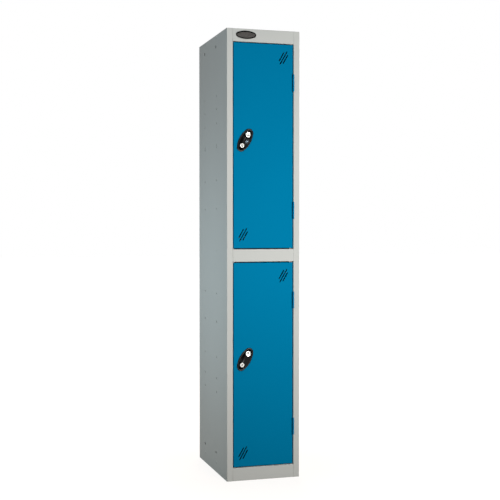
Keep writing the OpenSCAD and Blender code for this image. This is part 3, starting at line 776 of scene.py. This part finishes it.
class LOCKER_OT_stage(Operator):
    """Sets the floor, the even light, the soft lights and the camera"""

    bl_idname = "locker.stage"
    bl_label = "Studio"

    def execute(self, context):
        stage = context.scene.locker_stage
        context.scene.view_settings.view_transform = "Standard"
        self.floor(context.scene.locker_colours.floor)
        self.world(context.scene, stage)
        self.soft_light(
            "Front light", stage.key_power, size=0.85, place=(0.43, -2.08, 0.85), target=(0.0, -0.22, 1.9)
        )
        self.soft_light(
            "Side light", stage.fill_power, size=0.6, place=(-1.0, 0.01, 0.79), target=(-0.15, 0.01, 0.79),
            colour=stage.fill_tint,
        )
        self.soft_light(
            "Left glint", stage.glint_power, size=0.12, place=(-1.41, -1.01, 2.61),
            target=(-0.08, -0.22, 1.34), colour=stage.glint_tint,
        )
        self.soft_light(
            "Right light", stage.right_power, size=0.8, place=(1.2, 0.1, 0.9), target=(0.15, 0.1, 0.9)
        )
        self.soft_light(
            "Back light", stage.back_power, size=1.4, place=(0.5, 2.4, 2.5), target=(0.0, 0.2, 1.0)
        )
        self.camera(context.scene, stage)
        return {"FINISHED"}

    def seen_directly(self, tree):
        """One where a ray comes from the camera or a mirror-like surface, zero where it lights a surface."""
        path = add_node(tree, "ShaderNodeLightPath")
        sharp = add_node(
            tree, "ShaderNodeMath",
            {0: path.outputs["Is Glossy Ray"], 1: path.outputs["Is Transmission Ray"]}, operation="MAXIMUM",
        )
        seen = add_node(
            tree, "ShaderNodeMath",
            {0: path.outputs["Is Camera Ray"], 1: sharp.outputs[0]}, operation="MAXIMUM",
        )
        return seen.outputs[0]

    def floor(self, colour):
        """Pale floor that keeps a faint shadow round the locker, with its glow a little weaker there as
        painted shade, and fades to white farther out.
        """
        material, tree, place = new_material("Pale floor")
        away = add_node(tree, "ShaderNodeVectorMath", {0: place}, operation="LENGTH")
        # Painted shade: the glow is 0.9 within 0.3 m of the locker's middle and rises to full white by 1 m,
        # so the floor close round the locker is a shade darker even where no shadow falls.
        glow_with_painted_shade = add_node(
            tree, "ShaderNodeMapRange",
            {"Value": away.outputs["Value"], "From Min": 0.3, "From Max": 1.0, "To Min": 0.9, "To Max": 1.0},
        )
        share = add_node(
            tree, "ShaderNodeMath",
            {0: self.seen_directly(tree), 1: glow_with_painted_shade.outputs["Result"]}, operation="MULTIPLY",
        )
        white = add_node(tree, "ShaderNodeEmission", {"Color": WHITE, "Strength": share.outputs[0]})
        matt = add_node(tree, "ShaderNodeBsdfDiffuse", {"Color": colour})
        shader = add_node(tree, "ShaderNodeAddShader", {0: matt.outputs[0], 1: white.outputs[0]})
        close_material(tree, shader)
        half = 30
        corners = [(-half, -half, 0), (half, -half, 0), (half, half, 0), (-half, half, 0)]
        new_piece("floor", corners, [(0, 1, 2, 3)], material)

    def world(self, scene, stage):
        """Even light, seen as white by the camera and in reflections."""
        world = bpy.data.worlds.new("Studio")
        world.use_nodes = True
        tree = world.node_tree
        tree.nodes.clear()
        strength = add_node(
            tree, "ShaderNodeMapRange",
            {"Value": self.seen_directly(tree), "To Min": stage.world_light, "To Max": 1.0},
        )
        sky = add_node(
            tree, "ShaderNodeBackground", {"Color": WHITE, "Strength": strength.outputs["Result"]}
        )
        add_node(tree, "ShaderNodeOutputWorld", {"Surface": sky.outputs[0]})
        scene.world = world

    def soft_light(self, name, power, size, place, target, colour=WHITE):
        """Square soft light aimed at a point."""
        light = bpy.data.lights.new(name, "AREA")
        light.energy = power
        light.color = colour[:3]
        light.size = size
        lamp = bpy.data.objects.new(name, light)
        lamp.location = place
        lamp.rotation_euler = (Vector(target) - Vector(place)).to_track_quat("-Z", "Y").to_euler()
        bpy.context.scene.collection.objects.link(lamp)

    def camera(self, scene, stage):
        """Camera at the photograph's viewing angle."""
        data = bpy.data.cameras.new("Camera")
        data.lens = stage.lens
        data.sensor_width = 36
        data.clip_end = 100
        camera = bpy.data.objects.new("Camera", data)
        camera.location = stage.camera_place
        camera.rotation_euler = (math.pi / 2 - stage.camera_dip, 0, stage.camera_turn)
        scene.collection.objects.link(camera)
        scene.camera = camera


# Panel and start


STEPS = (
    LOCKER_OT_stage, LOCKER_OT_cabinet, LOCKER_OT_doors, LOCKER_OT_lock_plates, LOCKER_OT_number_discs,
    LOCKER_OT_cam_locks, LOCKER_OT_badge, LOCKER_OT_fittings,
)


class VIEW3D_PT_locker(Panel):
    """Lists the locker's pieces in the sidebar"""

    bl_label = "School locker"
    bl_space_type = "VIEW_3D"
    bl_region_type = "UI"
    bl_category = "Locker"

    def draw(self, context):
        for step in STEPS:
            self.layout.operator(step.bl_idname)


CLASSES = (LockerColours, LockerSizes, LockerStage, *STEPS, VIEW3D_PT_locker)


def register():
    """Registers the classes and hangs the properties on the scene."""
    for cls in CLASSES:
        bpy.utils.register_class(cls)
    bpy.types.Scene.locker_colours = PointerProperty(type=LockerColours)
    bpy.types.Scene.locker_sizes = PointerProperty(type=LockerSizes)
    bpy.types.Scene.locker_stage = PointerProperty(type=LockerStage)


def unregister():
    """Takes the properties and the classes away again."""
    del bpy.types.Scene.locker_stage
    del bpy.types.Scene.locker_sizes
    del bpy.types.Scene.locker_colours
    for cls in reversed(CLASSES):
        bpy.utils.unregister_class(cls)


def main():
    """Makes the whole scene."""
    register()
    bpy.ops.locker.stage()
    bpy.ops.locker.cabinet()
    bpy.ops.locker.doors()
    bpy.ops.locker.lock_plates()
    bpy.ops.locker.number_discs()
    bpy.ops.locker.cam_locks()
    bpy.ops.locker.badge()
    bpy.ops.locker.fittings()


if __name__ == "__main__":
    main()
